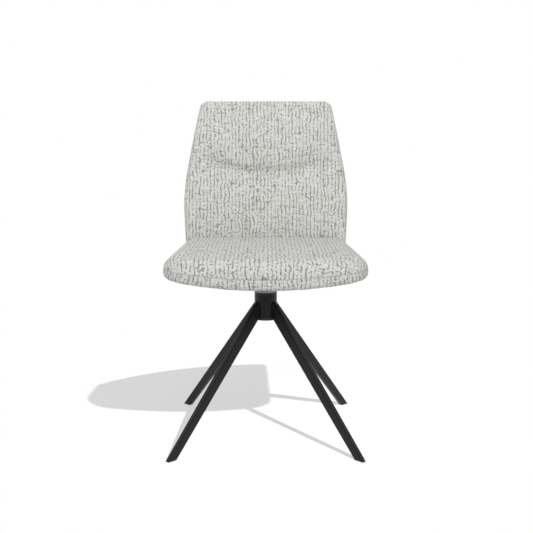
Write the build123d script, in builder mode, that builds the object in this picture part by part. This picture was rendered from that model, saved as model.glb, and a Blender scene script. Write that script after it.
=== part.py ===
"""Swivel dining chair: an upholstered seat and back turning on a four-legged steel base.

Millimetres. Z is up from the floor, Z is also the swivel axis, and the sitter faces -Y.
Left and right are as seen from in front of the chair, so left is -X.
"""

from build123d import *
import math
import os
from collections import namedtuple

os.makedirs("parts", exist_ok=True)

# ------------------------------------------------------------------ driving dimensions

# Base: four tapered steel tubes welded to a round hub.
foot_reach = 339.4  # swivel axis to the outer tip of a foot
foot_length = 26.0  # length of a leg's cut end on the floor
leg_width = 13.6
leg_wall = 1.5
leg_edge_radius = 2.0
leg_depth_at_hub = 43.1  # vertical depth of a leg where it meets the hub
leg_drop = 19.6  # top of the hub tube down to the top of a leg
leg_azimuths = {
    "front_left": 225,
    "front_right": 315,
    "rear_left": 135,
    "rear_right": 45,
}
glide_thickness = 3.0
glide_plug_length = 18.0
glide_clearance = 0.1

hub_bottom = 312.6  # floor to the lower end of the hub tube
hub_length = 62.8
hub_diameter = 59.2
hub_wall = 2.5
hub_cap_thickness = 6.6
hub_cap_plug_length = 6.0
hub_cap_edge = 1.0
hub_cap_plug_wall = 2.0
hub_cap_clearance = 0.1

# Swivel: a spindle on a thrust bearing, steadied by one bush above and one below.
running_clearance = 0.05  # radial
pivot_plate_thickness = 8.0
pivot_plate_setback = 12.0  # lower end of the hub tube up to the plate
race_recess_depth = 1.5
pivot_bush_wall = 2.5
pin_diameter = 15.0
pin_tail = 3.0  # length of pin left below the retaining ring
bearing_diameter = 32.0
race_thickness = 4.2
race_gap = 3.6
lower_race_bore_clearance = 1.0
ball_diameter = 5.5
ball_count = 10
ball_clearance = 0.03
cage_thickness = 2.0
cage_pocket_clearance = 0.05
cage_edge_clearance = 0.7
washer_diameter = 26.0
washer_thickness = 2.0
washer_clearance = 0.2
ring_thickness = 1.0
ring_diameter = 21.0
ring_groove_depth = 0.7
ring_gap = 4.0
spindle_diameter = 30.0
spindle_spigot_diameter = 26.0
spindle_reach = 44.2  # glide ring up to the mounting plate
bush_length = 25.0
bush_flange_thickness = 4.8
bush_flange_edge = 0.5
glide_ring_thickness = 3.6
glide_ring_diameter = 58.4
glide_ring_edge = 0.8

# Seat: mounting plate, arched plywood board, foam, cover and dust cover.
plate_thickness = 5.0
plate_width = 160.0
plate_depth = 176.0
plate_corner_radius = 14.0
board_thickness = 12.0
board_edge_margin = 2.0  # board edge inside the lower rounding
board_rear_gap = 9.0  # board edge to the leaning rear face of the foam
seat_thickness = 73.3  # in the middle, where the underside is lowest
seat_arch_radius = 1377.0  # the underside's arch, level from front to back
seat_upper_rim_radius = 33.0
seat_lower_rim_radius = 13.5
seat_front = -305.8
seat_front_radius = 1100.0
seat_corner_radius = 71.0
seat_side_front_width = 496.6  # between the side lines, drawn on to the front line
seat_side_rear_width = 462.0  # between the side lines, drawn on to the rear line
seat_side_rear = 175.0
cover_thickness = 1.5
cover_turn_in = 28.0
dust_cover_thickness = 0.8
dust_cover_overlap = 16.0
sheet_clearance = 1.0  # cover and dust cover clear of the ironwork
seat_back_gap = 0.3

# Back: two steel brackets, plywood board, foam, headrest foam and cover.
back_lean = 12.0  # degrees behind upright
back_level = 63.83  # the seat's underside up to the level that heights are taken from
back_meets_seat = 148.0  # Y of the back's front face at that level
back_front_foam = 44.0
back_rear_foam = 10.0
back_board_thickness = 12.0
back_board_inset = 28.0
back_drop = 62.0  # distances along the back, from that level
back_rise = 396.0
back_bottom_width = 449.0
back_waist_width = 470.6
back_waist_rise = 147.3
back_waist_radius = 600.0
back_top_width = 371.2
back_corner_radius = 24.0
back_bottom_corner_radius = 30.0
back_rim_radius = 16.0
lumbar_rise = 100.0
lumbar_depth = 6.0  # how far the lumbar swell stands out of the front face
crease_rise = 199.0
crease_depth = 3.0  # how far the crease lies behind the front face
headrest_rise = 285.0
headrest_depth = 10.0
headrest_top_depth = 4.0
swell_radius = 260.0
crease_radius = 40.0
headrest_foam_thickness = 18.0

bracket_width = 40.0
bracket_thickness = 5.0
bracket_spacing = 212.0
bracket_front = 42.0  # Y of the brackets' front ends
bracket_rise = 96.0  # along the back
bracket_bend_radius = 8.0
bracket_end_margin = 16.0
bracket_bolt_pitch = 52.0
bracket_slot_clearance = 0.5

# Fasteners: button head bolts into flanged tee nuts.
Fastener = namedtuple(
    "Fastener",
    "diameter hole_clearance head_diameter head_height washer_diameter washer_thickness"
    " barrel_wall flange_diameter flange_thickness",
)
plate_fastener = Fastener(8.0, 0.5, 14.0, 4.4, 16.0, 1.6, 1.0, 22.0, 1.5)
bracket_fastener = Fastener(6.0, 0.3, 10.5, 3.3, 12.0, 1.6, 1.0, 17.0, 1.2)
bolt_end_setback = 1.0  # bolt end below the tee nut's face
tee_nut_setback = 2.0  # tee nut barrel short of the board's far face
plate_bolt_margin = 15.0
head_pocket_clearance = 1.5

# -------------------------------------------------------------------- derived dimensions

hub_radius = hub_diameter / 2
hub_bore_radius = hub_radius - hub_wall
hub_top = hub_bottom + hub_length
leg_top = hub_top - leg_drop
leg_bottom = leg_top - leg_depth_at_hub

pin_radius = pin_diameter / 2
plate_bush_radius = pin_radius + running_clearance + pivot_bush_wall
pivot_plate_bottom = hub_bottom + pivot_plate_setback
pivot_plate_top = pivot_plate_bottom + pivot_plate_thickness
bearing_bottom = pivot_plate_top - race_recess_depth
bearing_height = 2 * race_thickness + race_gap
bearing_top = bearing_bottom + bearing_height
bearing_middle = bearing_bottom + bearing_height / 2
ball_pitch_radius = (bearing_diameter + pin_diameter) / 4
washer_top = pivot_plate_bottom - washer_clearance
washer_bottom = washer_top - washer_thickness
ring_bottom = washer_bottom - ring_thickness
pin_bottom = ring_bottom - pin_tail

bush_flange_top = hub_top + bush_flange_thickness
glide_ring_top = bush_flange_top + glide_ring_thickness
plate_bottom = glide_ring_top + spindle_reach
plate_top = plate_bottom + plate_thickness
board_inset = seat_lower_rim_radius + board_edge_margin


def arch_rise(x, inset):
    """Rise of the arch at x, on the surface that lies an inset inside the underside."""
    radius = seat_arch_radius - inset
    return radius - math.sqrt(radius**2 - x**2)


# The plate and the brackets lie in flats milled into the arched board.
seat_bottom = plate_top - arch_rise(plate_width / 2, cover_thickness) - cover_thickness
seat_top = seat_bottom + seat_thickness
back_height = seat_bottom + back_level
bracket_edge = (bracket_spacing + bracket_width) / 2
bracket_top = seat_bottom + cover_thickness + arch_rise(bracket_edge, cover_thickness)
bracket_bottom = bracket_top - bracket_thickness

lean = math.radians(back_lean)
back_board_front = back_meets_seat + (cover_thickness + back_front_foam) / math.cos(lean)
back_front_depth = back_front_foam + cover_thickness
back_rear_depth = -(back_board_thickness + back_rear_foam + cover_thickness)

# The board's front face: X across, Y up along the back, Z forward.
back_plane = Plane(
    origin=(0, back_board_front, back_height),
    x_dir=(1, 0, 0),
    z_dir=(0, -math.cos(lean), math.sin(lean)),
)
# The back seen from its side: X forward, Y up along the back.
profile_plane = Plane(origin=back_plane.origin, x_dir=back_plane.z_dir, z_dir=(-1, 0, 0))

bracket_places_x = (-bracket_spacing / 2, bracket_spacing / 2)
plate_bolt_places = GridLocations(
    plate_width - 2 * plate_bolt_margin, plate_depth - 2 * plate_bolt_margin, 2, 2
).local_locations
seat_bracket_bolts = [
    (x, bracket_front + bracket_end_margin + step * bracket_bolt_pitch)
    for x in bracket_places_x
    for step in (0, 1)
]
back_bracket_bolts = [
    (x, bracket_rise - bracket_end_margin - step * bracket_bolt_pitch)
    for x in bracket_places_x
    for step in (0, 1)
]

# Where each set of bolts goes: the plane of the outer steel face that the washers lie
# on, looking from the bolts' heads, the places on it and the steel's thickness.
plate_face = Plane.XY.offset(plate_bottom)
seat_bracket_face = Plane.XY.offset(bracket_bottom)
back_bracket_face = Plane(
    origin=back_plane.offset(bracket_thickness).origin,
    x_dir=(-1, 0, 0),
    z_dir=-back_plane.z_dir,
)
back_bracket_places = [(-x, y) for x, y in back_bracket_bolts]


# ------------------------------------------------------------------------------- helpers


def save(part, label):
    part.label = label
    export_step(part, f"parts/{label}.step")


def discs(face, places, radius, start, height, bore=0):
    """Upright discs or rings on the given places, from start to start + height."""
    with BuildPart() as group:
        with BuildSketch(face.offset(start)):
            with Locations(*places):
                Circle(radius)
                if bore:
                    Circle(bore, mode=Mode.SUBTRACT)
        extrude(amount=height)
    return group.part


def bolts(face, places, size, steel, board):
    """Button head bolts: the head outside, the shank through the steel into the nut."""
    washer = size.washer_thickness
    reach = washer + steel + board - bolt_end_setback
    shanks = discs(face, places, size.diameter / 2, -washer, reach)
    heads = discs(
        face, places, size.head_diameter / 2, -washer - size.head_height, size.head_height
    )
    outward = Axis(face.origin, -face.z_dir)
    with BuildPart() as group:
        add(heads)
        crowns = group.faces().filter_by(outward).group_by(outward)[-1]
        chamfer(crowns.edges(), size.head_height / 3)
        add(shanks)
    return group.part


def washers(face, places, size):
    thickness = size.washer_thickness
    bore = size.diameter / 2 + size.hole_clearance / 2
    return discs(face, places, size.washer_diameter / 2, -thickness, thickness, bore)


def tee_nuts(face, places, size, steel, board):
    """Flanged nuts, pulled flush into the board's far face."""
    far = steel + board
    bore = size.diameter / 2
    flange = discs(
        face,
        places,
        size.flange_diameter / 2,
        far - size.flange_thickness,
        size.flange_thickness,
        bore,
    )
    start = steel + tee_nut_setback
    barrel = discs(
        face,
        places,
        bore + size.barrel_wall,
        start,
        far - size.flange_thickness - start,
        bore,
    )
    with BuildPart() as group:
        add(flange)
        add(barrel)
    return group.part


def board_holes(face, places, size, steel, board):
    """The holes in the board for those nuts, open from each flange upwards."""
    barrel = discs(face, places, size.diameter / 2 + size.barrel_wall, steel, board)
    flange = discs(
        face,
        places,
        size.flange_diameter / 2,
        steel + board - size.flange_thickness,
        board,
    )
    return barrel + flange


# ------------------------------------------------------------------------------ the base


def leg_upper_z(radius, inset=0.0):
    """Height of a leg's upper line at a distance from the swivel axis."""
    slope = leg_top / (foot_reach - hub_radius)
    return slope * (foot_reach - radius) - inset * math.hypot(1, slope)


def leg_lower_z(radius, inset=0.0):
    slope = leg_bottom / (foot_reach - foot_length - hub_radius)
    return slope * (foot_reach - foot_length - radius) + inset * math.hypot(1, slope)


def leg_upper_radius(height, inset=0.0):
    slope = leg_top / (foot_reach - hub_radius)
    return foot_reach - (height + inset * math.hypot(1, slope)) / slope


def leg_lower_radius(height, inset=0.0):
    slope = leg_bottom / (foot_reach - foot_length - hub_radius)
    return foot_reach - foot_length - (height - inset * math.hypot(1, slope)) / slope


def leg_slice(low, high, inset=0.0):
    """The leg's side view between two heights near the foot."""
    return [
        (leg_lower_radius(low, inset), low),
        (leg_upper_radius(low, inset), low),
        (leg_upper_radius(high, inset), high),
        (leg_lower_radius(high, inset), high),
    ]


def leg_side(inset=0.0):
    """The leg's side view from the glide up to inside the hub's wall."""
    low = glide_thickness
    inner = hub_bore_radius
    return [
        (leg_lower_radius(low, inset), low),
        (leg_upper_radius(low, inset), low),
        (inner, leg_upper_z(inner, inset)),
        (inner, leg_lower_z(inner, inset)),
    ]


for place, azimuth in leg_azimuths.items():
    along = Vector(1, 0, 0).rotate(Axis.Z, azimuth)
    across = along.rotate(Axis.Z, -90)
    leg_plane = Plane(origin=(0, 0, 0), x_dir=along, z_dir=across)

    with BuildPart() as leg:
        with BuildSketch(leg_plane):
            Polygon(*leg_side())
        extrude(amount=leg_width / 2, both=True)
        fillet(leg.edges().sort_by(SortBy.LENGTH)[-4:], leg_edge_radius)
        with BuildSketch(leg_plane):
            Polygon(*leg_side(leg_wall))
        extrude(amount=leg_width / 2 - leg_wall, both=True, mode=Mode.SUBTRACT)
        with BuildSketch(Plane.XY):
            Circle(hub_radius)
        extrude(amount=hub_top, mode=Mode.SUBTRACT)
    save(leg.part, f"leg_{place}")

    plug_inset = leg_wall + glide_clearance
    with BuildPart() as glide:
        with BuildSketch(leg_plane):
            Polygon(*leg_slice(0, glide_thickness))
        extrude(amount=leg_width / 2, both=True)
        upright = [e for e in glide.edges() if e.bounding_box().size.Z > glide_thickness / 2]
        fillet(upright, leg_edge_radius)
        with BuildSketch(leg_plane):
            Polygon(*leg_slice(glide_thickness, glide_thickness + glide_plug_length, plug_inset))
        extrude(amount=leg_width / 2 - plug_inset, both=True)
    save(glide.part, f"glide_{place}")

with BuildPart() as hub_tube:
    with BuildSketch(Plane.XY.offset(hub_bottom)):
        Circle(hub_radius)
        Circle(hub_bore_radius, mode=Mode.SUBTRACT)
    extrude(amount=hub_length)
save(hub_tube.part, "hub_tube")

with BuildPart() as hub_cap:
    with BuildSketch(Plane.XY.offset(hub_bottom - hub_cap_thickness)):
        Circle(hub_radius)
    extrude(amount=hub_cap_thickness)
    fillet(hub_cap.edges().sort_by(Axis.Z)[0], hub_cap_edge)
    with BuildSketch(Plane.XY.offset(hub_bottom)):
        Circle(hub_bore_radius - hub_cap_clearance)
        Circle(hub_bore_radius - hub_cap_clearance - hub_cap_plug_wall, mode=Mode.SUBTRACT)
    extrude(amount=hub_cap_plug_length)
save(hub_cap.part, "hub_cap")

with BuildPart() as pivot_plate:
    with BuildSketch(Plane.XY.offset(pivot_plate_bottom)):
        Circle(hub_bore_radius)
        Circle(plate_bush_radius, mode=Mode.SUBTRACT)
    extrude(amount=pivot_plate_thickness)
    with BuildSketch(Plane.XY.offset(bearing_bottom)):
        Circle(bearing_diameter / 2)
    extrude(amount=race_recess_depth, mode=Mode.SUBTRACT)
save(pivot_plate.part, "pivot_plate")

with BuildPart() as pivot_bush:
    with BuildSketch(Plane.XY.offset(pivot_plate_bottom)):
        Circle(plate_bush_radius)
        Circle(pin_radius + running_clearance, mode=Mode.SUBTRACT)
    extrude(amount=bearing_bottom - pivot_plate_bottom)
save(pivot_bush.part, "pivot_bush")

with BuildPart() as top_bush:
    with BuildSketch(Plane.XY.offset(hub_top - bush_length)):
        Circle(hub_bore_radius)
    extrude(amount=bush_length)
    with BuildSketch(Plane.XY.offset(hub_top)):
        Circle(hub_radius)
    extrude(amount=bush_flange_thickness)
    fillet(top_bush.edges().sort_by(Axis.Z)[-1], bush_flange_edge)
    with BuildSketch(Plane.XY.offset(hub_top - bush_length)):
        Circle(spindle_diameter / 2 + running_clearance)
    extrude(amount=bush_length + bush_flange_thickness, mode=Mode.SUBTRACT)
save(top_bush.part, "top_bush")

with BuildPart() as glide_ring:
    with BuildSketch(Plane.XY.offset(bush_flange_top)):
        Circle(glide_ring_diameter / 2)
    extrude(amount=glide_ring_thickness)
    fillet(glide_ring.edges().sort_by(Axis.Z)[-1], glide_ring_edge)
    with BuildSketch(Plane.XY.offset(bush_flange_top)):
        Circle(spindle_diameter / 2)
    extrude(amount=glide_ring_thickness, mode=Mode.SUBTRACT)
save(glide_ring.part, "glide_ring")

# -------------------------------------------------------------------- the thrust bearing


def race(start, bore):
    """A bearing race with its ball groove on the side of the balls."""
    with BuildPart() as ring:
        with BuildSketch(Plane.XY.offset(start)):
            Circle(bearing_diameter / 2)
            Circle(bore, mode=Mode.SUBTRACT)
        extrude(amount=race_thickness)
        with BuildSketch(Plane.XZ):
            with Locations((ball_pitch_radius, bearing_middle)):
                Circle(ball_diameter / 2 + ball_clearance)
        revolve(axis=Axis.Z, mode=Mode.SUBTRACT)
    return ring.part


save(race(bearing_bottom, pin_radius + lower_race_bore_clearance), "lower_race")
save(race(bearing_top - race_thickness, pin_radius), "upper_race")

with BuildPart() as ball_cage:
    with BuildSketch(Plane.XY.offset(bearing_middle - cage_thickness / 2)):
        Circle(bearing_diameter / 2 - cage_edge_clearance)
        Circle(pin_radius + cage_edge_clearance, mode=Mode.SUBTRACT)
        with PolarLocations(ball_pitch_radius, ball_count):
            Circle(ball_diameter / 2 + cage_pocket_clearance, mode=Mode.SUBTRACT)
    extrude(amount=cage_thickness)
save(ball_cage.part, "ball_cage")

with BuildPart(Plane.XY.offset(bearing_middle)) as bearing_balls:
    with PolarLocations(ball_pitch_radius, ball_count):
        Sphere(ball_diameter / 2)
save(bearing_balls.part, "bearing_balls")

# --------------------------------------------------------------------------- the spindle

with BuildPart() as spindle:
    with BuildSketch(Plane.XY.offset(pin_bottom)):
        Circle(pin_radius)
    extrude(amount=bearing_top - pin_bottom)
    chamfer(spindle.edges().sort_by(Axis.Z)[0], ring_groove_depth)
    with BuildSketch(Plane.XY.offset(bearing_top)):
        Circle(spindle_diameter / 2)
    extrude(amount=plate_bottom - bearing_top)
    with BuildSketch(Plane.XY.offset(plate_bottom)):
        Circle(spindle_spigot_diameter / 2)
    extrude(amount=plate_thickness)
    with BuildSketch(Plane.XY.offset(ring_bottom)):
        Circle(pin_radius)
        Circle(pin_radius - ring_groove_depth, mode=Mode.SUBTRACT)
    extrude(amount=ring_thickness, mode=Mode.SUBTRACT)
save(spindle.part, "spindle")

with BuildPart() as pivot_washer:
    with BuildSketch(Plane.XY.offset(washer_bottom)):
        Circle(washer_diameter / 2)
        Circle(pin_radius, mode=Mode.SUBTRACT)
    extrude(amount=washer_thickness)
save(pivot_washer.part, "pivot_washer")

with BuildPart() as retaining_ring:
    with BuildSketch(Plane.XY.offset(ring_bottom)):
        Circle(ring_diameter / 2)
        Circle(pin_radius - ring_groove_depth, mode=Mode.SUBTRACT)
        with Locations((0, -ring_diameter / 2)):
            Rectangle(ring_gap, ring_diameter, mode=Mode.SUBTRACT)
    extrude(amount=ring_thickness)
save(retaining_ring.part, "retaining_ring")

# ------------------------------------------------------------------- the seat's ironwork

with BuildPart() as mounting_plate:
    with BuildSketch(plate_face):
        RectangleRounded(plate_width, plate_depth, plate_corner_radius)
        Circle(spindle_spigot_diameter / 2, mode=Mode.SUBTRACT)
        with Locations(*plate_bolt_places):
            hole_radius = (plate_fastener.diameter + plate_fastener.hole_clearance) / 2
            Circle(hole_radius, mode=Mode.SUBTRACT)
    extrude(amount=plate_thickness)
save(mounting_plate.part, "mounting_plate")


def back_line_y(height, depth):
    """Y at a height of the line that lies a depth in front of the back board."""
    return back_board_front + (height - back_height) * math.tan(lean) - depth / math.cos(lean)


bracket_tip = [back_plane.from_local_coords((0, bracket_rise, d)) for d in (0, bracket_thickness)]
bracket_corner = (back_line_y(bracket_bottom, 0), bracket_bottom)
bracket_inner_corner = (back_line_y(bracket_top, bracket_thickness), bracket_top)
bracket_outline = [
    (bracket_front, bracket_bottom),
    bracket_corner,
    (bracket_tip[0].Y, bracket_tip[0].Z),
    (bracket_tip[1].Y, bracket_tip[1].Z),
    bracket_inner_corner,
    (bracket_front, bracket_top),
]
bracket_hole_radius = (bracket_fastener.diameter + bracket_fastener.hole_clearance) / 2


def nearest_vertex(sketch, point):
    return sketch.vertices().sort_by_distance(Vector(*point))[0]


def bent_bar(x, clearance=0.0):
    """A bracket before it is drilled, or the space it takes with a clearance all round."""
    with BuildPart() as bar:
        with BuildSketch(Plane.YZ.offset(x)) as outline:
            Polygon(*bracket_outline)
            outer = nearest_vertex(outline, bracket_corner)
            fillet(outer, bracket_bend_radius + bracket_thickness)
            inner = nearest_vertex(outline, bracket_inner_corner)
            fillet(inner, bracket_bend_radius)
            if clearance:
                offset(amount=clearance, kind=Kind.INTERSECTION)
        extrude(amount=bracket_width / 2 + clearance, both=True)
    return bar.part


for side, x in zip(("left", "right"), bracket_places_x):
    with BuildPart() as bracket:
        add(bent_bar(x))
        with BuildSketch(seat_bracket_face):
            with Locations(*[place for place in seat_bracket_bolts if place[0] == x]):
                Circle(bracket_hole_radius)
        extrude(amount=bracket_thickness, mode=Mode.SUBTRACT)
        with BuildSketch(back_plane):
            with Locations(*[place for place in back_bracket_bolts if place[0] == x]):
                Circle(bracket_hole_radius)
        extrude(amount=bracket_thickness, mode=Mode.SUBTRACT)
    save(bracket.part, f"back_bracket_{side}")


def board_grip(x, size, steel_top):
    """Wood from the steel up to where a nut's flange is just inside the arched board."""
    nearest = x - size.flange_diameter / 2
    inset = cover_thickness + board_thickness
    return seat_bottom + inset + arch_rise(nearest, inset) - steel_top


# Each row: the face under the washers, the places, the size, the steel and the wood.
plate_grip = board_grip(plate_width / 2 - plate_bolt_margin, plate_fastener, plate_top)
plate_set = (plate_face, plate_bolt_places, plate_fastener, plate_thickness, plate_grip)
seat_bracket_set = (
    seat_bracket_face,
    seat_bracket_bolts,
    bracket_fastener,
    bracket_thickness,
    board_grip(bracket_spacing / 2, bracket_fastener, bracket_top),
)
back_bracket_set = (
    back_bracket_face,
    back_bracket_places,
    bracket_fastener,
    bracket_thickness,
    back_board_thickness,
)

save(bolts(*plate_set), "plate_bolts")
save(washers(*plate_set[:3]), "plate_washers")
save(tee_nuts(*plate_set), "plate_tee_nuts")
save(bolts(*seat_bracket_set) + bolts(*back_bracket_set), "bracket_bolts")
save(washers(*seat_bracket_set[:3]) + washers(*back_bracket_set[:3]), "bracket_washers")
save(tee_nuts(*seat_bracket_set) + tee_nuts(*back_bracket_set), "bracket_tee_nuts")

# ------------------------------------------------------------------------------ the seat


def seat_outline(inset):
    """The seat from above: a slightly round front, rounded corners, narrower behind."""
    front_half = seat_side_front_width / 2
    rear_half = seat_side_rear_width / 2
    with BuildSketch() as outline:
        with Locations((0, seat_front + seat_front_radius)):
            Circle(seat_front_radius)
        Polygon(
            (-front_half, seat_front),
            (front_half, seat_front),
            (rear_half, seat_side_rear),
            (-rear_half, seat_side_rear),
            mode=Mode.INTERSECT,
        )
        corners = outline.vertices().sort_by(Axis.Y)[:2]
        fillet(corners, seat_corner_radius)
        offset(amount=-inset)
    return outline.sketch


def ahead_of_back(part, gap):
    """The part of a seat solid that lies a gap in front of the leaning back."""
    with BuildPart() as ahead:
        add(part)
        split(bisect_by=back_plane.offset(back_front_depth + gap), keep=Keep.TOP)
    return ahead.part


def arch_space(inset):
    """All the space above the surface that lies an inset inside the arched underside."""
    with BuildPart() as space:
        with BuildSketch(Plane.XZ):
            with Locations((0, seat_bottom + seat_arch_radius)):
                Circle(seat_arch_radius - inset)
        extrude(amount=2 * seat_side_front_width, both=True)
    return space.part


def seat_column(inset):
    """The seat's outline, an inset inside it, drawn up through the whole seat."""
    with BuildPart() as column:
        with BuildSketch(Plane.XY.offset(seat_bottom - seat_thickness)):
            add(seat_outline(inset))
        extrude(amount=3 * seat_thickness)
    return column.part


def seat_pad(inset):
    """The upholstered seat, or the solid that lies a constant inset inside it."""
    with BuildPart() as pad:
        with BuildSketch(Plane.XY.offset(seat_top - inset)):
            add(seat_outline(inset))
        extrude(amount=-seat_thickness)
        add(arch_space(inset), mode=Mode.INTERSECT)
        fillet(pad.faces().sort_by(Axis.Z)[-1].edges(), seat_upper_rim_radius - inset)
        fillet(pad.faces().sort_by(Axis.Z)[0].edges(), seat_lower_rim_radius - inset)
    return ahead_of_back(pad.part, seat_back_gap + inset)


def seat_sheet(outline_inset, low, high, rear_gap):
    """A sheet that follows the underside's arch, between two insets from it."""
    with BuildPart() as sheet:
        add(seat_column(outline_inset))
        add(arch_space(low), mode=Mode.INTERSECT)
        add(arch_space(high), mode=Mode.SUBTRACT)
    return ahead_of_back(sheet.part, seat_back_gap + rear_gap)


def plate_space(clearance):
    """The mounting plate with a clearance, drawn down through the seat's underside."""
    with BuildPart() as space:
        with BuildSketch(Plane.XY.offset(plate_top + clearance)):
            RectangleRounded(
                plate_width + 2 * clearance,
                plate_depth + 2 * clearance,
                plate_corner_radius + clearance,
            )
        extrude(amount=-seat_thickness)
    return space.part


def arm_spaces(clearance):
    """The brackets' arms with a clearance, drawn down through the seat's underside."""
    length = seat_side_rear - bracket_front + 2 * clearance
    middle = bracket_front - clearance + length / 2
    with BuildPart() as spaces:
        with BuildSketch(Plane.XY.offset(bracket_top + clearance)):
            with Locations(*[(x, middle) for x in bracket_places_x]):
                Rectangle(bracket_width + 2 * clearance, length)
        extrude(amount=-seat_thickness)
    return spaces.part


board_rear_inset = cover_thickness + board_rear_gap
seat_board_space = seat_sheet(
    board_inset, cover_thickness, cover_thickness + board_thickness, board_rear_inset
)

with BuildPart() as seat_board:
    add(seat_board_space)
    add(plate_space(0), mode=Mode.SUBTRACT)
    add(arm_spaces(0), mode=Mode.SUBTRACT)
    add(board_holes(*plate_set), mode=Mode.SUBTRACT)
    add(board_holes(*seat_bracket_set), mode=Mode.SUBTRACT)
save(seat_board.part, "seat_board")

with BuildPart() as seat_foam:
    add(seat_pad(cover_thickness))
    add(seat_board_space, mode=Mode.SUBTRACT)
    add(arm_spaces(bracket_slot_clearance), mode=Mode.SUBTRACT)
save(seat_foam.part, "seat_foam")

turn_in_inset = board_inset + cover_turn_in
turn_in_rear = board_rear_inset + cover_turn_in
with BuildPart() as seat_cover:
    add(seat_pad(0))
    add(seat_pad(cover_thickness), mode=Mode.SUBTRACT)
    add(seat_sheet(turn_in_inset, 0, cover_thickness, turn_in_rear), mode=Mode.SUBTRACT)
    add(plate_space(sheet_clearance), mode=Mode.SUBTRACT)
    add(arm_spaces(sheet_clearance), mode=Mode.SUBTRACT)
save(seat_cover.part, "seat_cover")

dust_cover_inset = turn_in_inset - dust_cover_overlap
dust_cover_rear = turn_in_rear - dust_cover_overlap
with BuildPart() as dust_cover:
    add(seat_sheet(dust_cover_inset, -dust_cover_thickness, 0, dust_cover_rear))
    add(plate_space(sheet_clearance), mode=Mode.SUBTRACT)
    add(arm_spaces(sheet_clearance), mode=Mode.SUBTRACT)
save(dust_cover.part, "dust_cover")

# ------------------------------------------------------------------------------ the back


def back_outline(inset):
    """The back from the front: drawn in above its waist, with rounded corners."""
    with BuildSketch() as outline:
        Polygon(
            (-back_bottom_width / 2, -back_drop),
            (back_bottom_width / 2, -back_drop),
            (back_waist_width / 2, back_waist_rise),
            (back_top_width / 2, back_rise),
            (-back_top_width / 2, back_rise),
            (-back_waist_width / 2, back_waist_rise),
        )
        fillet(outline.vertices().group_by(Axis.Y)[1], back_waist_radius)
        fillet(outline.vertices().group_by(Axis.Y)[-1], back_corner_radius)
        fillet(outline.vertices().group_by(Axis.Y)[0], back_bottom_corner_radius)
        offset(amount=-inset)
    return outline.sketch


def back_profile(inset):
    """The back from its side: a flat rear, a lumbar swell, a crease and a headrest."""
    foot = (back_front_depth, 0)
    lumbar = (back_front_depth + lumbar_depth, lumbar_rise)
    crease = (back_front_depth - crease_depth, crease_rise)
    headrest = (back_front_depth + headrest_depth, headrest_rise)
    with BuildSketch() as outline:
        Polygon(
            (back_rear_depth, -back_drop),
            (back_front_depth, -back_drop),
            foot,
            lumbar,
            crease,
            headrest,
            (back_front_depth + headrest_top_depth, back_rise),
            (back_rear_depth, back_rise),
        )
        fillet(nearest_vertex(outline, foot), swell_radius)
        fillet(nearest_vertex(outline, lumbar), swell_radius)
        fillet(nearest_vertex(outline, crease), crease_radius)
        fillet(nearest_vertex(outline, headrest), swell_radius)
        offset(amount=-inset)
    return outline.sketch


def back_pad(inset):
    """The upholstered back, or the solid that lies a constant inset inside it."""
    with BuildPart() as pad:
        with BuildSketch(profile_plane):
            add(back_profile(inset))
        extrude(amount=back_waist_width, both=True)
        with BuildSketch(back_plane):
            add(back_outline(inset))
        extrude(amount=back_waist_width, both=True, mode=Mode.INTERSECT)
        rims = pad.edges().filter_by(Axis.X, reverse=True)
        rims = rims.filter_by(Axis((0, 0, 0), back_plane.z_dir), reverse=True)
        fillet(rims, back_rim_radius - inset)
    return pad.part


def back_slots(clearance):
    """The space in the upholstery for the brackets and their bolt heads."""
    head = bracket_fastener
    head_space = head.washer_thickness + head.head_height + clearance
    with BuildPart() as slots:
        for x in bracket_places_x:
            add(bent_bar(x, clearance))
        with BuildSketch(back_plane.offset(bracket_thickness)):
            with Locations(*back_bracket_bolts):
                Circle(head.washer_diameter / 2 + head_pocket_clearance)
        extrude(amount=head_space)
    return slots.part


with BuildPart() as back_board_space:
    with BuildSketch(back_plane):
        add(back_outline(back_board_inset))
    extrude(amount=-back_board_thickness)

with BuildPart() as back_board:
    add(back_board_space.part)
    add(board_holes(*back_bracket_set), mode=Mode.SUBTRACT)
save(back_board.part, "back_board")

with BuildPart() as headrest_foam:
    add(back_pad(cover_thickness))
    headrest_base = back_front_foam - headrest_foam_thickness
    with BuildSketch(profile_plane):
        with Locations((headrest_base, crease_rise)):
            Rectangle(back_front_foam, back_rise, align=(Align.MIN, Align.MIN))
    extrude(amount=back_waist_width, both=True, mode=Mode.INTERSECT)
save(headrest_foam.part, "headrest_foam")

with BuildPart() as back_foam:
    add(back_pad(cover_thickness))
    add(headrest_foam.part, mode=Mode.SUBTRACT)
    add(back_board_space.part, mode=Mode.SUBTRACT)
    add(back_slots(bracket_slot_clearance), mode=Mode.SUBTRACT)
save(back_foam.part, "back_foam")

with BuildPart() as back_cover:
    add(back_pad(0))
    add(back_pad(cover_thickness), mode=Mode.SUBTRACT)
    add(back_slots(sheet_clearance), mode=Mode.SUBTRACT)
save(back_cover.part, "back_cover")
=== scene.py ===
"""Looks of the swivel dining chair, built round its packed model as a Blender add-on."""

import math

import bmesh
import bpy
from bpy.props import FloatProperty, FloatVectorProperty, IntProperty, PointerProperty
from mathutils import Matrix, Vector


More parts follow.
